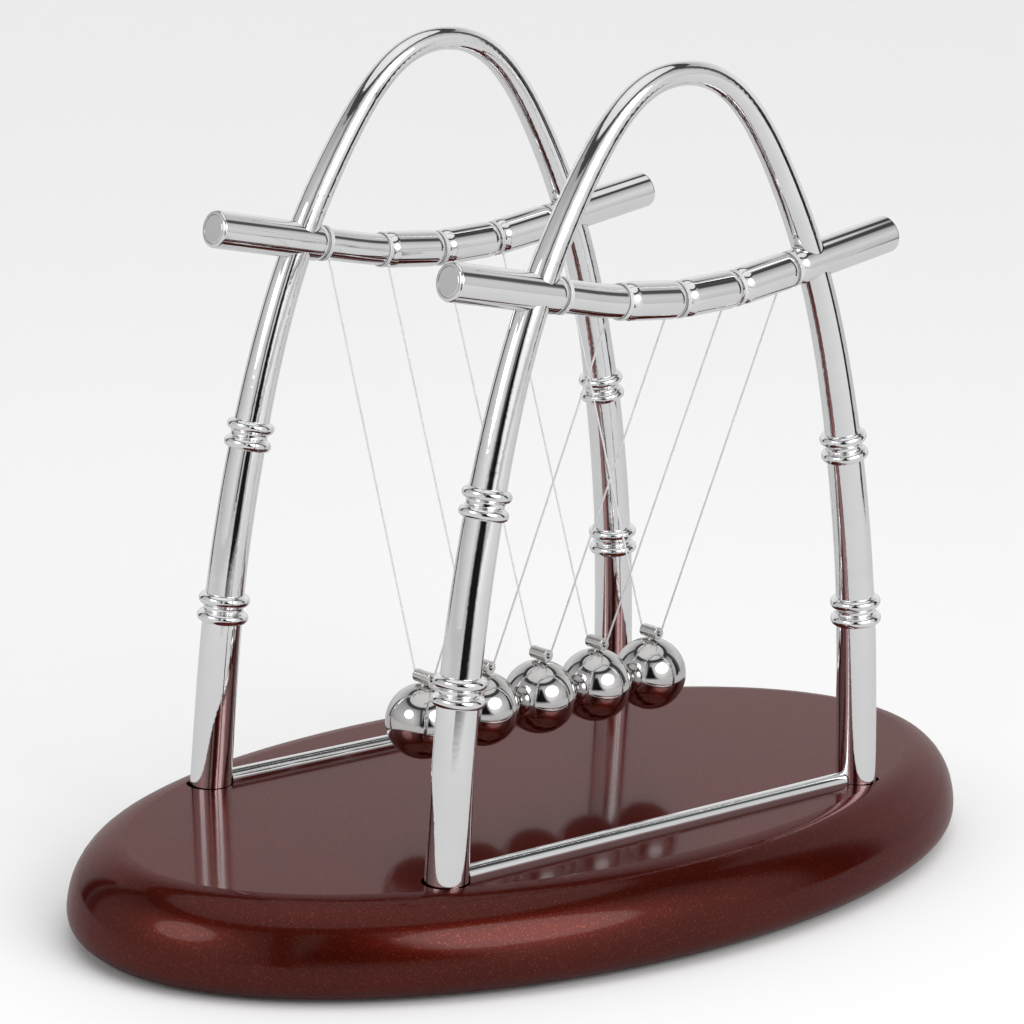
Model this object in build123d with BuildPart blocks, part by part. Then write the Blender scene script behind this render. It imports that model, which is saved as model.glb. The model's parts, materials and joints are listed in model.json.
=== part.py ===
from build123d import *
import math
import os

os.makedirs("parts", exist_ok=True)

# Newton's cradle. X runs along the line of balls, Y from the front arch to the rear one, Z up.
# The origin is the middle of the underside. All sizes are in millimetres.

# Base: an oval board with a full rounded edge on a thin pad
base_length = 224
base_width = 130
pad_thickness = 1.5
pad_inset = 7.5  # from the board's widest outline
board_thickness = 18.3
belly_height = 6.0  # where the board is widest, above the table
top_rounding = 11.5  # how far the rounded edge reaches in at the top
bottom_rounding = 8.6
deck_z = pad_thickness + board_thickness

# Arches: one frame at the front and one at the rear, both leaning in a little towards the balls.
# The centreline is given as (x, height above the deck).
arch_y = 39  # at the deck
arch_lean = 0.8  # degrees
socket_depth = 8
leg_foot_x = 57.6
leg_end_x = 57.9  # at the bottom of the socket
lower_ferrule = (55.2, 38.2)
upper_ferrule = (49.5, 74.6)
bar_crossing = (37.5, 114.6)
bow_side = (27.0, 134.6)
bow_shoulder = (19.0, 145.7)
apex_height = 155
leg_radii = (4.45, 4.2)  # lower leg, at the foot and under the lower ferrule
middle_radii = (4.1, 3.85)  # middle leg, above the lower ferrule and under the upper one
bow_radii = (3.75, 2.45)  # bow, above the upper ferrule and at the apex
socket_clearance = 0.4

# Ferrules: a sleeve with two rings, over spigots on the legs that it joins
ring_spacing = 3.7
ring_section_radius = 1.2
ring_blend = 0.55  # hollow rounding between the two rings
ferrule_length = ring_spacing + 2 * ring_section_radius
lower_ring_radius = 5.4  # to the outside of a ring
upper_ring_radius = 4.98
spigot_radius = 2.2
slip = 0.02  # radial clearance of the assembled joints

# Screws that hold the legs, from below
screw_radius = 2.0
screw_head_radius = 3.5
screw_head_height = 2.6
screw_reach = 10.0  # into the leg
washer_radius = 4.5
washer_thickness = 0.8
counterbore_radius = 5.0
counterbore_depth = 4.5
screw_hole_radius = 2.3

# Rails on the deck, between the two legs of each arch
rail_radius = 1.9  # of its half-round top
rail_height = 2.3

# Crossbars: bent in an arc in the middle and straight towards the ends
bar_radius = 3.9
bar_half_length = 59.8
bar_low_point = 110  # centre of the bar above the deck
bar_bend_radius = 133
bar_arc_half_length = 23.8
bar_end_rounding = 0.6
cap_radius = 3.0
cap_depth = 2.0
groove_depth = 0.55
groove_floor_width = 1.4
groove_shoulder = 3.0  # rounding of a sleeve's end towards the groove
bow_hole_clearance = 0.1

# Balls, each hung in a V of line from a small tube on top
ball_count = 5
ball_pitch = 16
ball_radius = 15.875 / 2  # a 5/8 inch ball
ball_height = 18.85  # centre above the deck
hanger_length = 4.9
hanger_radius = 1.35
hanger_bore_radius = 0.55
hanger_height = 9.4  # tube axis above the ball's centre
neck_radius = 0.9
line_radius = 0.2
line_bend_radius = 0.6
line_exit = 0.35  # how far the line leaves the tube before it turns up
knot_radius = 0.4
knot_gap = 0.05  # between a knot and the end of its line, so that the line turns freely
wrap_turns = 2

board_half = (base_length / 2, base_width / 2)
socket_floor = deck_z - socket_depth
lean = math.radians(arch_lean)
socket_y = arch_y + socket_depth * math.tan(lean)
ball_places = [ball_pitch * (i - (ball_count - 1) / 2) for i in range(ball_count)]

# Each arch is drawn in its own leaning plane: local X is the row's X, local Y runs up the arch
# from the deck, and the normal points to the front.
arches = {
    name: Plane(
        (0, y_side * arch_y, deck_z),
        x_dir=(1, 0, 0),
        z_dir=(0, -math.cos(lean), -y_side * math.sin(lean)),
    )
    for name, y_side in (("front", -1), ("rear", 1))
}
sides = {"left": -1, "right": 1}
corners = [(f"{a}_{s}", arches[a], x) for a in arches for s, x in sides.items()]


def save(piece, name):
    piece.part.label = name
    export_step(piece.part, f"parts/{name}.step")


# ---------------------------------------------------------------- arch centreline
with BuildLine() as half_arch:
    Spline(
        (leg_end_x, -socket_depth),
        (leg_foot_x, 0),
        lower_ferrule,
        upper_ferrule,
        bar_crossing,
        bow_side,
        bow_shoulder,
        (0, apex_height),
        tangents=[(0, 1), (-1, 0)],
    )
centreline = half_arch.edge()


def arch_parameter(height):
    """Where on the centreline the arch is this high above the deck."""
    low, high = 0.0, 1.0
    for _ in range(40):
        middle = (low + high) / 2
        if centreline.position_at(middle).Y < height:
            low = middle
        else:
            high = middle
    return low


def arch_plane(frame, t, side, descending=False):
    """The plane square to an arch at parameter t, on its left (-1) or right (1) half."""
    point, direction = centreline.position_at(t), centreline.tangent_at(t)
    normal = frame.x_dir * (side * direction.X) + frame.y_dir * direction.Y
    if descending:
        normal = normal * -1
    origin = frame.from_local_coords((side * point.X, point.Y, 0))
    return Plane(origin, x_dir=frame.z_dir, z_dir=normal)


lower_t = arch_parameter(lower_ferrule[1])
upper_t = arch_parameter(upper_ferrule[1])
crossing_t = arch_parameter(bar_crossing[1])
half_ferrule = ferrule_length / 2


def rod_sections(frame, side, ends, span, radii, count=5):
    """Section planes and radii of a tapering rod along the arch, from one end plane to the other."""
    inner = [span[0] + (span[1] - span[0]) * (i + 1) / (count + 1) for i in range(count)]
    planes = [ends[0], *[arch_plane(frame, t, side) for t in inner], ends[1]]
    return [(p, radii[0] + (radii[1] - radii[0]) * i / (count + 1)) for i, p in enumerate(planes)]


# ---------------------------------------------------------------- base
def board_inset(z):
    """How far the rounded edge stands inside the widest outline at this height."""
    if z > belly_height:
        part, reach = (z - belly_height) / (deck_z - belly_height), top_rounding
    else:
        part, reach = (belly_height - z) / belly_height, bottom_rounding
    return reach * (1 - math.sqrt(max(0.0, 1 - part * part)))


upper_steps = 9
lower_steps = 3
board_levels = [
    belly_height - (belly_height - pad_thickness) * (1 - i / lower_steps) for i in range(lower_steps)
] + [
    belly_height + (deck_z - belly_height) * math.sin(math.radians(90 * i / upper_steps))
    for i in range(upper_steps + 1)
]

with BuildPart() as base_board:
    for level in board_levels:
        with BuildSketch(Plane.XY.offset(level)):
            Ellipse(board_half[0] - board_inset(level), board_half[1] - board_inset(level))
    loft()
    with BuildSketch(Plane.XY.offset(socket_floor)):
        with GridLocations(2 * leg_end_x, 2 * socket_y, 2, 2):
            Circle(leg_radii[0] + socket_clearance)
    extrude(amount=socket_depth, mode=Mode.SUBTRACT)
    with BuildSketch(Plane.XY.offset(pad_thickness)):
        with GridLocations(2 * leg_end_x, 2 * socket_y, 2, 2):
            Circle(screw_hole_radius)
    extrude(amount=board_thickness, mode=Mode.SUBTRACT)
    with BuildSketch(Plane.XY.offset(pad_thickness)):
        with GridLocations(2 * leg_end_x, 2 * socket_y, 2, 2):
            Circle(counterbore_radius)
    extrude(amount=counterbore_depth, mode=Mode.SUBTRACT)
save(base_board, "base_board")

with BuildPart() as base_pad:
    with BuildSketch():
        Ellipse(board_half[0] - pad_inset, board_half[1] - pad_inset)
    extrude(amount=pad_thickness)
save(base_pad, "base_pad")

# ---------------------------------------------------------------- leg screws and washers
washer_z = pad_thickness + counterbore_depth - washer_thickness

with BuildPart() as leg_screws:
    with BuildSketch(Plane.XY.offset(washer_z - screw_head_height)):
        with GridLocations(2 * leg_end_x, 2 * socket_y, 2, 2):
            Circle(screw_head_radius)
    extrude(amount=screw_head_height)
    with BuildSketch(Plane.XY.offset(washer_z)):
        with GridLocations(2 * leg_end_x, 2 * socket_y, 2, 2):
            Circle(screw_radius - slip)
    extrude(amount=socket_floor + screw_reach - washer_z)
save(leg_screws, "leg_screws")

with BuildPart() as leg_washers:
    with BuildSketch(Plane.XY.offset(washer_z)):
        with GridLocations(2 * leg_end_x, 2 * socket_y, 2, 2):
            Circle(washer_radius)
            Circle(screw_hole_radius, mode=Mode.SUBTRACT)
    extrude(amount=washer_thickness)
save(leg_washers, "leg_washers")

# ---------------------------------------------------------------- legs and ferrules
for corner, frame, side in corners:
    low_joint = arch_plane(frame, lower_t, side)
    high_joint = arch_plane(frame, upper_t, side)
    socket = (side * leg_end_x, math.copysign(socket_y, frame.origin.Y), socket_floor)
    foot = Plane(socket, x_dir=(0, -1, 0), z_dir=(0, 0, 1))

    with BuildPart() as lower_leg:
        ends = foot, low_joint.offset(-half_ferrule)
        for plane, radius in rod_sections(frame, side, ends, (0, lower_t), leg_radii):
            with BuildSketch(plane):
                Circle(radius)
        loft()
        with Locations(low_joint):
            Cylinder(spigot_radius, half_ferrule, align=(Align.CENTER, Align.CENTER, Align.MAX))
        with Locations(foot):
            Cylinder(
                screw_radius,
                screw_reach + 1,
                align=(Align.CENTER, Align.CENTER, Align.MIN),
                mode=Mode.SUBTRACT,
            )
    save(lower_leg, f"leg_lower_{corner}")

    with BuildPart() as middle_leg:
        ends = low_joint.offset(half_ferrule), high_joint.offset(-half_ferrule)
        for plane, radius in rod_sections(frame, side, ends, (lower_t, upper_t), middle_radii):
            with BuildSketch(plane):
                Circle(radius)
        loft()
        with Locations(low_joint):
            Cylinder(spigot_radius, half_ferrule, align=(Align.CENTER, Align.CENTER, Align.MIN))
        with Locations(high_joint):
            Cylinder(spigot_radius, half_ferrule, align=(Align.CENTER, Align.CENTER, Align.MAX))
    save(middle_leg, f"leg_middle_{corner}")

    for level, plane, ring, waist in (
        ("lower", low_joint, lower_ring_radius, leg_radii[1]),
        ("upper", high_joint, upper_ring_radius, middle_radii[1]),
    ):
        with BuildPart() as ferrule:
            with Locations(plane):
                Cylinder(waist, ferrule_length)
                with Locations((0, 0, ring_spacing / 2), (0, 0, -ring_spacing / 2)):
                    Torus(ring - ring_section_radius, ring_section_radius)
                in_the_waist = [
                    edge
                    for edge in ferrule.edges().filter_by(GeomType.CIRCLE)
                    if (edge.arc_center - plane.origin).length < ring_spacing / 2
                    and edge.radius > waist - ring_blend
                ]
                fillet(in_the_waist, ring_blend)
                Cylinder(spigot_radius + slip, ferrule_length, mode=Mode.SUBTRACT)
        save(ferrule, f"ferrule_{level}_{corner}")

# ---------------------------------------------------------------- bows
bow_steps = 14
climb = [upper_t + (1 - upper_t) * (i + 1) / bow_steps for i in range(bow_steps)]


def bow_radius(t):
    """The bow's radius at a parameter of the centreline, tapering evenly to the apex."""
    return bow_radii[0] + (bow_radii[1] - bow_radii[0]) * (t - upper_t) / (1 - upper_t)


for name, frame in arches.items():
    right_joint = arch_plane(frame, upper_t, 1)
    left_joint = arch_plane(frame, upper_t, -1)
    rising = [(arch_plane(frame, t, 1), bow_radius(t)) for t in climb]
    falling = [(arch_plane(frame, t, -1, descending=True), bow_radius(t)) for t in reversed(climb[:-1])]
    last_joint = arch_plane(frame, upper_t, -1, descending=True)
    bow_sections = [
        (right_joint.offset(half_ferrule), bow_radii[0]),
        *rising,
        *falling,
        (last_joint.offset(-half_ferrule), bow_radii[0]),
    ]
    with BuildPart() as bow:
        for plane, radius in bow_sections:
            with BuildSketch(plane):
                Circle(radius)
        loft()
        with Locations(right_joint, left_joint):
            Cylinder(spigot_radius, half_ferrule, align=(Align.CENTER, Align.CENTER, Align.MIN))
    save(bow, f"{name}_bow")

# ---------------------------------------------------------------- rails
rail_half_length = leg_foot_x - leg_radii[0] - 0.1

for name, frame in arches.items():
    with BuildPart() as rail:
        with BuildSketch(Plane.YZ.offset(-rail_half_length)):
            with Locations((frame.origin.Y, deck_z + rail_height - rail_radius)):
                Circle(rail_radius)
            with Locations((frame.origin.Y, deck_z)):
                rail_foot = (2 * rail_radius, rail_height - rail_radius)
                Rectangle(*rail_foot, align=(Align.CENTER, Align.MIN))
                rail_space = (2 * rail_radius, rail_height)
                Rectangle(*rail_space, align=(Align.CENTER, Align.MIN), mode=Mode.INTERSECT)
        extrude(amount=2 * rail_half_length)
    save(rail, f"{name}_rail")

# ---------------------------------------------------------------- crossbars
bend_angle = math.degrees(math.asin(bar_arc_half_length / bar_bend_radius))


def bar_slope(x):
    """The bar's slope at x, as an angle in degrees, rising towards both ends."""
    inside = max(-bar_arc_half_length, min(bar_arc_half_length, x))
    return math.degrees(math.asin(inside / bar_bend_radius))


def bar_height(x):
    """Height of the bar's centre above the deck at x, measured up the arch's plane."""
    arc_part = min(abs(x), bar_arc_half_length)
    rise = bar_bend_radius - math.sqrt(bar_bend_radius**2 - arc_part**2)
    return bar_low_point + rise + (abs(x) - arc_part) * math.tan(math.radians(bend_angle))


def bar_plane(frame, x):
    """The plane square to the bar at x, with its normal towards +X."""
    angle = math.radians(bar_slope(x))
    normal = frame.x_dir * math.cos(angle) + frame.y_dir * math.sin(angle)
    return Plane(frame.from_local_coords((x, bar_height(x), 0)), x_dir=frame.z_dir, z_dir=normal)


groove_floor = bar_radius - groove_depth
wrap_radius = groove_floor + line_radius + slip
knot_offset = wrap_radius + line_radius + knot_radius + slip  # knot centre from the bar's centre
knot_side = knot_offset * math.sin(math.radians(45))

# Each knot hangs straight above its ball, so its groove stands a little towards the middle.
groove_places = [x - knot_side * math.sin(math.radians(bar_slope(x))) for x in ball_places]

# Between its grooves the bar is a row of short straight sleeves on a bent core.
sleeve_gaps = [(-bar_half_length, groove_places[0])]
sleeve_gaps += list(zip(groove_places[:-1], groove_places[1:]))
sleeve_gaps += [(groove_places[-1], bar_half_length)]
shoulder_drop = groove_shoulder - groove_depth
shoulder_reach = groove_shoulder - math.sqrt(groove_shoulder**2 - shoulder_drop**2)
sleeve_overrun = shoulder_reach - groove_floor_width / 2  # hidden inside the core

for name, frame in arches.items():
    sleeves = []
    for start, end in sleeve_gaps:
        low, high = (bar_plane(frame, x).origin for x in (start, end))
        first, last = start == -bar_half_length, end == bar_half_length
        along = (high - low).normalized()
        if not first:
            low = low - along * sleeve_overrun
        if not last:
            high = high + along * sleeve_overrun
        with BuildPart(Plane(low, x_dir=frame.z_dir, z_dir=along)) as sleeve:
            Cylinder(bar_radius, (high - low).length, align=(Align.CENTER, Align.CENTER, Align.MIN))
            left_rim = sleeve.edges().filter_by(GeomType.CIRCLE).sort_by(Axis.X)[0]
            fillet(left_rim, bar_end_rounding if first else groove_shoulder)
            right_rim = sleeve.edges().filter_by(GeomType.CIRCLE).sort_by(Axis.X)[-1]
            fillet(right_rim, bar_end_rounding if last else groove_shoulder)
        sleeves.append(sleeve.part)

    with BuildPart() as crossbar:
        with BuildLine(frame) as bar_line:
            bar_end = (bar_half_length, bar_height(bar_half_length))
            arc_end = (bar_arc_half_length, bar_height(bar_arc_half_length))
            arc_start = (-arc_end[0], arc_end[1])
            Line((-bar_end[0], bar_end[1]), arc_start)
            ThreePointArc(arc_start, (0, bar_height(0)), arc_end)
            Line(arc_end, bar_end)
        with BuildSketch(bar_plane(frame, -bar_half_length)):
            Circle(groove_floor)
        sweep(path=bar_line.line)
        add(sleeves)
        for x in (-bar_half_length, bar_half_length):
            with Locations(bar_plane(frame, x)):
                Cylinder(cap_radius + slip, 2 * cap_depth, mode=Mode.SUBTRACT)
        for side in sides.values():
            with Locations(arch_plane(frame, crossing_t, side)):
                Cylinder(
                    bow_radius(crossing_t) + bow_hole_clearance, 4 * bar_radius, mode=Mode.SUBTRACT
                )
    save(crossbar, f"{name}_crossbar")

    for side_name, side in sides.items():
        with BuildPart() as cap:
            with Locations(bar_plane(frame, side * bar_half_length)):
                Cylinder(
                    cap_radius,
                    cap_depth,
                    align=(Align.CENTER, Align.CENTER, Align.MAX if side > 0 else Align.MIN),
                )
            outer_face = cap.faces().sort_by(Axis.X)[-1 if side > 0 else 0]
            fillet(outer_face.edges(), 0.25)
        save(cap, f"bar_cap_{name}_{side_name}")

    with BuildPart() as wraps:
        for x in groove_places:
            for turn in range(wrap_turns):
                shift = (turn - (wrap_turns - 1) / 2) * 2 * (line_radius + slip)
                with Locations(bar_plane(frame, x).offset(shift)):
                    Torus(wrap_radius, line_radius)
    save(wraps, f"line_wraps_{name}")

# ---------------------------------------------------------------- balls, hangers and lines
ball_z = deck_z + ball_height
hanger_z = ball_z + hanger_height

for i, x in enumerate(ball_places):
    number = i + 1
    groove = bar_plane(arches["rear"], groove_places[i]).origin
    knot_y = groove.Y - knot_side
    knot_z = groove.Z - knot_side * math.cos(math.radians(bar_slope(groove_places[i])))

    with BuildPart() as ball:
        with Locations((x, 0, ball_z)):
            Sphere(ball_radius)
    save(ball, f"ball_{number}")

    with BuildPart() as hanger:
        with BuildSketch(Plane.XY.offset(ball_z + ball_radius - 0.5)):
            with Locations((x, 0)):
                Circle(neck_radius)
        extrude(amount=hanger_z - ball_z - ball_radius + 0.5)
        with Locations(Location((x, 0, hanger_z), (90, 0, 0))):
            Cylinder(hanger_radius, hanger_length)
        fillet(hanger.edges().filter_by(GeomType.CIRCLE).group_by(Axis.Y)[0], 0.2)
        fillet(hanger.edges().filter_by(GeomType.CIRCLE).group_by(Axis.Y)[-1], 0.2)
        with Locations(Location((x, 0, hanger_z), (90, 0, 0))):
            Cylinder(hanger_bore_radius, hanger_length, mode=Mode.SUBTRACT)
        with Locations((x, 0, ball_z)):
            Sphere(ball_radius, mode=Mode.SUBTRACT)
    save(hanger, f"ball_hanger_{number}")

    mouth_y = hanger_length / 2 + line_exit
    run = math.hypot(knot_y - mouth_y, knot_z - hanger_z)
    share = 1 - (knot_radius + knot_gap) / run
    top_y = mouth_y + (knot_y - mouth_y) * share
    top_z = hanger_z + (knot_z - hanger_z) * share

    with BuildPart() as ball_line:
        with BuildLine(Plane.YZ.offset(x)) as line_path:
            FilletPolyline(
                (-top_y, top_z),
                (-mouth_y, hanger_z),
                (mouth_y, hanger_z),
                (top_y, top_z),
                radius=line_bend_radius,
            )
        with BuildSketch(line_path.line ^ 0):
            Circle(line_radius)
        sweep(path=line_path.line)
    save(ball_line, f"ball_line_{number}")

    for name, y in (("front", -knot_y), ("rear", knot_y)):
        with BuildPart() as knot:
            with Locations((x, y, knot_z)):
                Sphere(knot_radius)
        save(knot, f"line_knot_{name}_{number}")
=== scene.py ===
import json
import math

import bpy
from mathutils import Matrix, Vector

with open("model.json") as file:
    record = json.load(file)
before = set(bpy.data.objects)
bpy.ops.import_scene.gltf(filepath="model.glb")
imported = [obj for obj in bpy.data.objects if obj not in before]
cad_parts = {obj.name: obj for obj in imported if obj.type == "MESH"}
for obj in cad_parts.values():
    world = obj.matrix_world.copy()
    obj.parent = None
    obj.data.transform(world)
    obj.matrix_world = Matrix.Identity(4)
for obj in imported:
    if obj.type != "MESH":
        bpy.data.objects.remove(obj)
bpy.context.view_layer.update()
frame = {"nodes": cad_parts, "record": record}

nodes = frame["nodes"]
scene = bpy.context.scene

# ---------------------------------------------------------------- materials
MM = 0.001


def new_material(name):
    """A material with an empty node tree but for its Principled shader and output."""
    material = bpy.data.materials.new(name)
    material.use_nodes = True
    tree = material.node_tree
    shader = next(n for n in tree.nodes if n.type == "BSDF_PRINCIPLED")
    return material, tree, shader


def add_node(tree, kind, inputs=None, **settings):
    """A node of this kind with its settings and unlinked inputs filled in."""
    node = tree.nodes.new(kind)
    for key, value in settings.items():
        setattr(node, key, value)
    for key, value in (inputs or {}).items():
        node.inputs[key].default_value = value
    return node


def object_coordinates(tree, scale=(1, 1, 1)):
    """The piece's own coordinates, stretched by scale."""
    place = add_node(tree, "ShaderNodeTexCoord")
    mapping = add_node(tree, "ShaderNodeMapping", {"Scale": scale})
    tree.links.new(place.outputs["Object"], mapping.inputs["Vector"])
    return mapping.outputs["Vector"]


def noise(tree, vector, size, detail=2.0, roughness=0.5):
    """Noise with features of about this size in metres."""
    made = add_node(
        tree, "ShaderNodeTexNoise", {"Scale": 1 / size, "Detail": detail, "Roughness": roughness}
    )
    tree.links.new(vector, made.inputs["Vector"])
    return made.outputs["Fac"]


def ramp(tree, source, stops):
    """A colour ramp over a value from 0 to 1; stops are (place, colour)."""
    made = add_node(tree, "ShaderNodeValToRGB")
    elements = made.color_ramp.elements
    while len(elements) < len(stops):
        elements.new(0.5)
    for element, (place, colour) in zip(elements, stops):
        element.position = place
        element.color = (*colour, 1)
    tree.links.new(source, made.inputs["Fac"])
    return made.outputs["Color"]


def remap(tree, source, low, high, from_low=0.3, from_high=0.7):
    """A value moved from one range to another."""
    made = add_node(
        tree,
        "ShaderNodeMapRange",
        {"From Min": from_low, "From Max": from_high, "To Min": low, "To Max": high},
    )
    tree.links.new(source, made.inputs["Value"])
    return made.outputs["Result"]


def bump(tree, shader, height, strength, distance):
    """Relief of this depth in metres on the shader."""
    made = add_node(tree, "ShaderNodeBump", {"Strength": strength, "Distance": distance})
    tree.links.new(height, made.inputs["Height"])
    tree.links.new(made.outputs["Normal"], shader.inputs["Normal"])


def chrome():
    """Mirror chrome plate over polished castings, with a trace of waviness and wiping haze."""
    material, tree, shader = new_material("chrome_plate")
    place = object_coordinates(tree)
    shader.inputs["Metallic"].default_value = 1
    tints = [(0.3, (0.86, 0.86, 0.87)), (0.7, (0.9, 0.9, 0.905))]
    tint = ramp(tree, noise(tree, place, 9 * MM), tints)
    tree.links.new(tint, shader.inputs["Base Color"])
    haze = remap(tree, noise(tree, place, 4 * MM, 5), 0.025, 0.06)
    tree.links.new(haze, shader.inputs["Roughness"])
    bump(tree, shader, noise(tree, place, 9 * MM, 1), 0.12, 0.05 * MM)
    return material


def ball_steel():
    """Polished solid steel, with fine handling marks."""
    material, tree, shader = new_material("ball_steel")
    place = object_coordinates(tree)
    shader.inputs["Metallic"].default_value = 1
    tints = [(0.3, (0.6, 0.59, 0.585)), (0.7, (0.66, 0.65, 0.645))]
    tint = ramp(tree, noise(tree, place, 5 * MM), tints)
    tree.links.new(tint, shader.inputs["Base Color"])
    marks = remap(tree, noise(tree, place, 1.1 * MM, 8, 0.65), 0.03, 0.1)
    tree.links.new(marks, shader.inputs["Roughness"])
    return material


def hanger_steel():
    """Drawn steel tube, with lines along its length."""
    material, tree, shader = new_material("hanger_steel")
    place = object_coordinates(tree, (1, 0.06, 1))
    shader.inputs["Metallic"].default_value = 1
    lines = noise(tree, place, 0.16 * MM, 3)
    tint = ramp(tree, lines, [(0.3, (0.62, 0.61, 0.6)), (0.7, (0.74, 0.73, 0.72))])
    tree.links.new(tint, shader.inputs["Base Color"])
    tree.links.new(remap(tree, lines, 0.12, 0.24), shader.inputs["Roughness"])
    bump(tree, shader, lines, 0.2, 0.005 * MM)
    return material


def zinc_steel():
    """Zinc-plated screws and washers, with a faint spangle."""
    material, tree, shader = new_material("zinc_steel")
    place = object_coordinates(tree)
    shader.inputs["Metallic"].default_value = 1
    spangle = noise(tree, place, 0.8 * MM, 4)
    tint = ramp(tree, spangle, [(0.3, (0.5, 0.5, 0.49)), (0.7, (0.66, 0.66, 0.62))])
    tree.links.new(tint, shader.inputs["Base Color"])
    tree.links.new(remap(tree, spangle, 0.25, 0.45), shader.inputs["Roughness"])
    return material


def nylon():
    """Clear monofilament that scatters enough light to look pale."""
    material, tree, shader = new_material("nylon_line")
    place = object_coordinates(tree)
    tints = [(0.3, (0.68, 0.68, 0.69)), (0.7, (0.78, 0.78, 0.78))]
    tint = ramp(tree, noise(tree, place, 3 * MM), tints)
    tree.links.new(tint, shader.inputs["Base Color"])
    haze = remap(tree, noise(tree, place, 1 * MM, 4), 0.12, 0.3)
    tree.links.new(haze, shader.inputs["Roughness"])
    shader.inputs["Transmission Weight"].default_value = 0.15
    shader.inputs["IOR"].default_value = 1.53
    return material


def foam():
    """Matt black foam rubber, with fine pores."""
    material, tree, shader = new_material("foam_pad")
    place = object_coordinates(tree)
    pores = noise(tree, place, 0.35 * MM, 6, 0.7)
    tint = ramp(tree, pores, [(0.35, (0.008, 0.008, 0.009)), (0.65, (0.03, 0.03, 0.032))])
    tree.links.new(tint, shader.inputs["Base Color"])
    tree.links.new(remap(tree, pores, 0.75, 0.95), shader.inputs["Roughness"])
    bump(tree, shader, pores, 0.6, 0.12 * MM)
    return material


def lacquer():
    """Burgundy lacquer: fine red pearl under a thick clear coat, over a smooth board."""
    material, tree, shader = new_material("lacquered_wood")
    place = object_coordinates(tree)
    cloud = noise(tree, place, 38 * MM, 3)
    tint = ramp(tree, cloud, [(0.3, (0.07, 0.0058, 0.0024)), (0.7, (0.088, 0.0072, 0.003))])
    flakes = add_node(tree, "ShaderNodeTexVoronoi", {"Scale": 1 / (0.2 * MM)})
    tree.links.new(place, flakes.inputs["Vector"])
    grey = add_node(tree, "ShaderNodeSeparateColor")
    tree.links.new(flakes.outputs["Color"], grey.inputs["Color"])
    glint = ramp(tree, grey.outputs["Red"], [(0.9, (0, 0, 0)), (0.995, (0.8, 0.8, 0.8))])
    mix = add_node(tree, "ShaderNodeMix", data_type="RGBA")
    tree.links.new(glint, mix.inputs["Factor"])
    tree.links.new(tint, mix.inputs["A"])
    mix.inputs["B"].default_value = (0.22, 0.04, 0.02, 1)
    tree.links.new(mix.outputs["Result"], shader.inputs["Base Color"])
    tree.links.new(remap(tree, glint, 0.36, 0.25, 0, 1), shader.inputs["Roughness"])
    shader.inputs["Metallic"].default_value = 0.9
    shader.inputs["Specular Tint"].default_value = (0.6, 0.4, 0.38, 1)
    shader.inputs["Coat Weight"].default_value = 0.42
    shader.inputs["Coat Roughness"].default_value = 0.09
    shader.inputs["Coat IOR"].default_value = 1.5
    return material


materials = {
    "chrome_plate": chrome(),
    "ball_steel": ball_steel(),
    "hanger_steel": hanger_steel(),
    "zinc_steel": zinc_steel(),
    "nylon_line": nylon(),
    "foam_pad": foam(),
    "lacquered_wood": lacquer(),
}
slot_of = {part["node"]: part["material_slot"] for part in frame["record"]["subparts"]}
for name, node in nodes.items():
    node.data.materials.clear()
    node.data.materials.append(materials[slot_of[name]])

# ---------------------------------------------------------------- camera
VIEW_AZIMUTH = math.radians(-41.204)
VIEW_ELEVATION = math.radians(13.112)
VIEW_ROLL = math.radians(1.779)
VIEW_TARGET = Vector((-9.4, 0, 80.14)) * MM
VIEW_DISTANCE = 743.57 * MM

back = Vector(
    (
        math.sin(VIEW_AZIMUTH) * math.cos(VIEW_ELEVATION),
        -math.cos(VIEW_AZIMUTH) * math.cos(VIEW_ELEVATION),
        math.sin(VIEW_ELEVATION),
    )
)
level_right = Vector((math.cos(VIEW_AZIMUTH), math.sin(VIEW_AZIMUTH), 0))
level_up = back.cross(level_right)
right = level_right * math.cos(VIEW_ROLL) + level_up * math.sin(VIEW_ROLL)
up = back.cross(right)
camera = bpy.data.objects.new("camera", bpy.data.cameras.new("camera"))
camera.data.lens = 125.41
camera.data.sensor_width = 36
camera.data.clip_start = 0.02
camera.data.clip_end = 50
axes = Matrix((right, up, back)).transposed().to_4x4()
camera.matrix_world = Matrix.Translation(VIEW_TARGET + back * VIEW_DISTANCE) @ axes
scene.collection.objects.link(camera)
scene.camera = camera


# ---------------------------------------------------------------- studio
def direction(azimuth, elevation):
    """Unit vector to an azimuth right of the camera's and an elevation, both in degrees."""
    a = VIEW_AZIMUTH + math.radians(azimuth)
    e = math.radians(elevation)
    return Vector((math.sin(a) * math.cos(e), -math.cos(a) * math.cos(e), math.sin(e)))


def card(name, inner, outer, shade):
    """A card of this grey that only reflections see; it fades out between its two outlines."""
    mesh = bpy.data.meshes.new(name)
    count = len(inner)
    rim = [(i, (i + 1) % count, (i + 1) % count + count, i + count) for i in range(count)]
    mesh.from_pydata(inner + outer, [], [tuple(range(count))] + rim)
    cover = mesh.attributes.new("cover", "FLOAT", "POINT")
    cover.data.foreach_set("value", [1.0] * count + [0.0] * count)
    made = bpy.data.objects.new(name, mesh)
    material, tree, shader = new_material(name)
    fade = add_node(tree, "ShaderNodeAttribute", attribute_name="cover")
    tree.links.new(fade.outputs["Fac"], shader.inputs["Alpha"])
    shader.inputs["Base Color"].default_value = (shade, shade, shade, 1)
    shader.inputs["Roughness"].default_value = 1
    shader.inputs["Specular IOR Level"].default_value = 0
    mesh.materials.append(material)
    scene.collection.objects.link(made)
    made.visible_camera = False
    made.visible_diffuse = False
    made.visible_shadow = False
    made.visible_transmission = False


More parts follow.
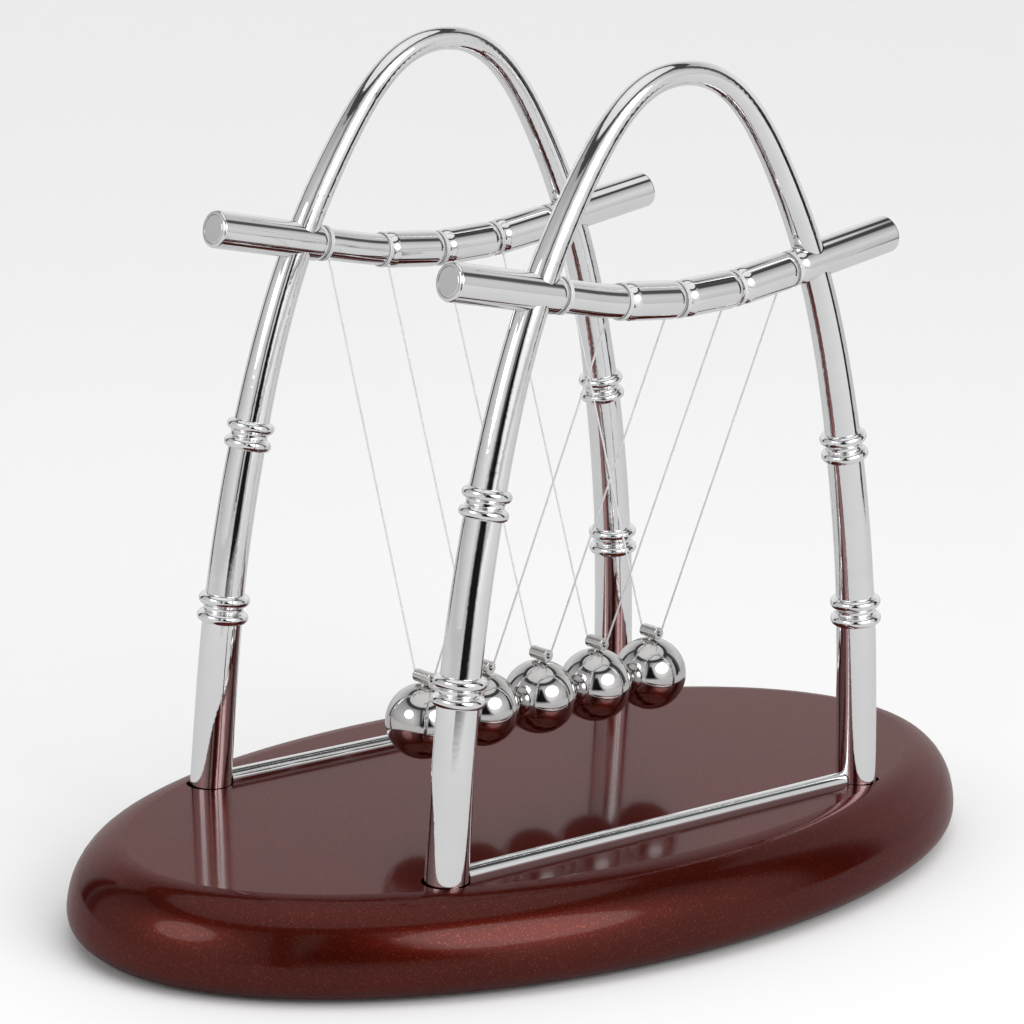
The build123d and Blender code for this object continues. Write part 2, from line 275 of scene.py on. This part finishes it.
def standing(distance, outline):
    """Corners of an upright card at this distance; the outline is (azimuth, height) pairs."""
    return [
        direction(azimuth, 0) * distance + Vector((0, 0, height)) for azimuth, height in outline
    ]


def square(half, height):
    """Corners of a level square round the object, given its half side and its height."""
    return [Vector((x * half, y * half, height)) for x, y in ((-1, -1), (1, -1), (1, 1), (-1, 1))]


# Dark gaps between the big softboxes. The front one is wide above the table and closes upwards.
FRONT_GAP_DISTANCE = 0.31
SIDE_GAP_DISTANCE = 0.5
card(
    "front_gap",
    standing(FRONT_GAP_DISTANCE, [(-7, 0.035), (22, 0.035), (15, 0.1), (6, 0.25), (2, 0.25)]),
    standing(FRONT_GAP_DISTANCE, [(-14, 0), (38, 0), (24, 0.1), (11, 0.28), (-3, 0.28)]),
    0.012,
)
card(
    "right_gap",
    standing(SIDE_GAP_DISTANCE, [(95, 0.01), (101, 0.01), (99, 0.3), (97, 0.3)]),
    standing(SIDE_GAP_DISTANCE, [(90, 0), (106, 0), (102, 0.33), (94, 0.33)]),
    0.02,
)
card(
    "left_gap",
    standing(SIDE_GAP_DISTANCE, [(-121, 0.01), (-115, 0.01), (-117, 0.3), (-119, 0.3)]),
    standing(SIDE_GAP_DISTANCE, [(-126, 0), (-110, 0), (-113, 0.33), (-123, 0.33)]),
    0.02,
)

FLOOR_HALF = 6.0
FLOOR_GREY = 0.9
MIRRORED_FLOOR_GREY = 0.6
MIRRORED_FLOOR_HEIGHT = 0.2 * MM
MIRRORED_FLOOR_MARGIN = 0.1  # over which it fades out
floor_mesh = bpy.data.meshes.new("floor")
floor_mesh.from_pydata(square(FLOOR_HALF, 0), [], [(0, 1, 2, 3)])
floor = bpy.data.objects.new("floor", floor_mesh)
floor_material, _, floor_shader = new_material("floor")
floor_shader.inputs["Base Color"].default_value = (FLOOR_GREY, FLOOR_GREY, FLOOR_GREY, 1)
floor_shader.inputs["Roughness"].default_value = 0.9
floor_shader.inputs["Specular IOR Level"].default_value = 0.1
floor_mesh.materials.append(floor_material)
scene.collection.objects.link(floor)
floor.visible_glossy = False

# Reflections see a greyer floor, so that the bright metal stands out from it
card(
    "floor_in_mirrors",
    square(FLOOR_HALF - MIRRORED_FLOOR_MARGIN, MIRRORED_FLOOR_HEIGHT),
    square(FLOOR_HALF, MIRRORED_FLOOR_HEIGHT),
    MIRRORED_FLOOR_GREY,
)

# Soft overall light on the floor; reflections come from the room instead
sun_data = bpy.data.lights.new("soft_sun", "SUN")
sun_data.energy = 1.2
sun_data.angle = math.radians(70)
sun = bpy.data.objects.new("soft_sun", sun_data)
sun.rotation_mode = "QUATERNION"
sun.rotation_quaternion = direction(35, 62).to_track_quat("Z", "Y")
sun.visible_glossy = False
scene.collection.objects.link(sun)


LAMP_DISTANCE = 1.1


def softbox(name, azimuth, elevation, size, power):
    """A round-edged lamp that faces the object and shows in its reflections."""
    data = bpy.data.lights.new(name, "AREA")
    data.shape = "ELLIPSE"
    data.size, data.size_y = size
    data.energy = power
    lamp = bpy.data.objects.new(name, data)
    towards = direction(azimuth, elevation)
    lamp.location = towards * LAMP_DISTANCE
    lamp.rotation_mode = "QUATERNION"
    lamp.rotation_quaternion = towards.to_track_quat("Z", "Y")
    scene.collection.objects.link(lamp)


softbox("right_lamp", 44, 29, (0.85, 0.62), 3.4)
softbox("left_lamp", -50, 29, (0.55, 0.45), 1.4)

# The room: panels of light round the object, by azimuth from the camera and by elevation
world = bpy.data.worlds.new("studio")
scene.world = world
world.use_nodes = True
tree = world.node_tree
sky = next(n for n in tree.nodes if n.type == "BACKGROUND")
place = add_node(tree, "ShaderNodeTexCoord")
from_camera = math.pi / 2 - VIEW_AZIMUTH
turn = add_node(tree, "ShaderNodeVectorRotate", {"Angle": from_camera}, rotation_type="Z_AXIS")
tree.links.new(place.outputs["Generated"], turn.inputs["Vector"])
parts = add_node(tree, "ShaderNodeSeparateXYZ")
tree.links.new(turn.outputs["Vector"], parts.inputs["Vector"])
angle = add_node(tree, "ShaderNodeMath", operation="ARCTAN2")
tree.links.new(parts.outputs["Y"], angle.inputs[0])
tree.links.new(parts.outputs["X"], angle.inputs[1])
rise = add_node(tree, "ShaderNodeMath", operation="ARCSINE")
tree.links.new(parts.outputs["Z"], rise.inputs[0])


def greys(stops):
    """Ramp stops from (place, grey) pairs."""
    return [(place, (grey, grey, grey)) for place, grey in stops]


def round_stops(stops):
    """Ramp stops round the room from (azimuth in degrees, grey) pairs."""
    return greys([((azimuth + 180) / 360, grey) for azimuth, grey in stops])


walls = ramp(
    tree,
    remap(tree, angle.outputs[0], 0, 1, -math.pi, math.pi),
    round_stops(
        [
            (-180, 0.88),
            (-126, 0.8),
            (-122, 0.1),
            (-116, 0.1),
            (-112, 0.5),
            (-60, 0.72),
            (-30, 0.85),
            (-12, 0.5),
            (-8, 0.08),
            (-4, 0.08),
            (-1, 0.6),
            (12, 0.95),
            (40, 1.15),
            (80, 0.75),
            (94, 0.6),
            (98, 0.1),
            (110, 0.1),
            (116, 0.8),
            (180, 0.88),
        ]
    ),
)
ceiling = ramp(
    tree,
    remap(tree, rise.outputs[0], 0, 1, 0, math.pi / 2),
    greys([(0, 0), (0.52, 0), (0.53, 0.06), (0.62, 0.06), (0.64, 0.8), (1, 0.95)]),
)
walls_share = ramp(
    tree,
    remap(tree, rise.outputs[0], 0, 1, 0, math.pi / 2),
    greys([(0, 0.85), (0.2, 1), (0.4, 0.8), (0.52, 0.55), (0.53, 0)]),
)
dimmed = add_node(tree, "ShaderNodeMix", {"Factor": 1}, data_type="RGBA", blend_type="MULTIPLY")
tree.links.new(walls, dimmed.inputs["A"])
tree.links.new(walls_share, dimmed.inputs["B"])
room = add_node(tree, "ShaderNodeMix", {"Factor": 1}, data_type="RGBA", blend_type="ADD")
tree.links.new(dimmed.outputs["Result"], room.inputs["A"])
tree.links.new(ceiling, room.inputs["B"])
tree.links.new(room.outputs["Result"], sky.inputs["Color"])

scene.view_settings.view_transform = "Standard"
